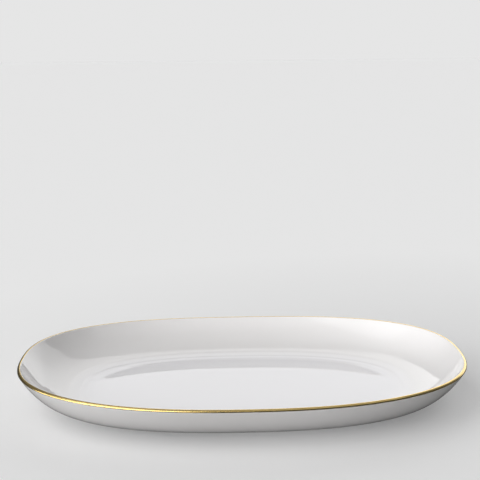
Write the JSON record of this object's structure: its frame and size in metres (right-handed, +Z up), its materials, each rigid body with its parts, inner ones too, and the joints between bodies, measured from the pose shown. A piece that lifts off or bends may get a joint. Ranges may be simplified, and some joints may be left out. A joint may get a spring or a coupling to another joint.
{
  "type": "serving platter",
  "caption": "Oval coupe serving platter in glazed white china: flat well, curved wall, slightly raised ends, gilded lip and an unglazed foot ring to stand on.",
  "frame": {"origin": "middle of the foot ring's standing face, on the surface that the platter stands on", "axes": "+X along the platter's length, +Y along its width, +Z up out of the well"},
  "size_m": [0.36, 0.252, 0.0367],
  "materials": {
    "china_body": "matte",
    "foot_ring": "matte",
    "well_glaze": "gloss",
    "back_glaze": "gloss",
    "base_glaze": "gloss",
    "gilt_band": "polished"
  },
  "bodies": {
    "root": {"china_body": "china_body", "foot_ring": "foot_ring", "well_glaze": "well_glaze", "back_glaze": "back_glaze", "base_glaze": "base_glaze", "gilt_band": "gilt_band"}
  },
  "joints": []
}
